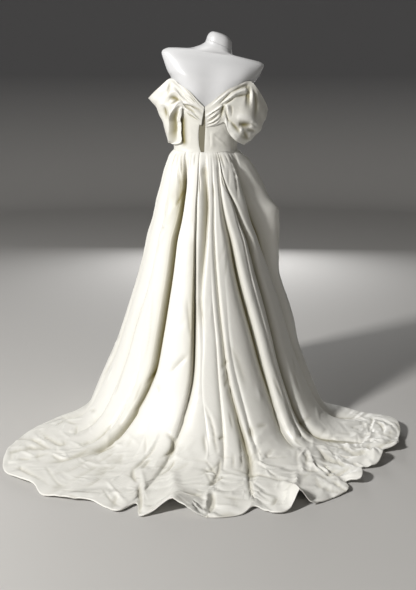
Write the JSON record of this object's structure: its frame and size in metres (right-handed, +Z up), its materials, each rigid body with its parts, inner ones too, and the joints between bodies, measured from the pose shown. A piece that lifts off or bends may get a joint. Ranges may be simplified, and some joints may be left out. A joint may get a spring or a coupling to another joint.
{
  "type": "evening gown on a limbless dress form",
  "caption": "Off-the-shoulder satin gown with draped sleeve bands, a fitted bodice and a full folded skirt that runs out into a train, standing on a limbless dress form.",
  "frame": {"origin": "on the floor, under the middle of the whole part's bounding box", "axes": "+Z up; the gown's front faces -Y and its train spreads to +Y; the wearer's left is +X"},
  "size_m": [1.506, 1.4164, 1.5484],
  "materials": {
    "ivory_satin": "heavy ivory duchess satin with a soft sheen",
    "form_gloss": "white gloss paint on glass fibre",
    "form_steel": "brushed"
  },
  "bodies": {
    "root": {"back_placket": "ivory_satin", "bodice_back_left": "ivory_satin", "bodice_back_right": "ivory_satin", "bodice_front": "ivory_satin", "bodice_side_left": "ivory_satin", "bodice_side_right": "ivory_satin", "skirt_back_left": "ivory_satin", "skirt_back_right": "ivory_satin", "skirt_front": "ivory_satin", "skirt_side_left": "ivory_satin", "skirt_side_right": "ivory_satin", "sleeve_left": "ivory_satin", "sleeve_right": "ivory_satin", "form_torso": "form_gloss", "form_neck_cap": "form_gloss", "form_pole": "form_steel", "form_base": "form_steel"}
  },
  "joints": []
}
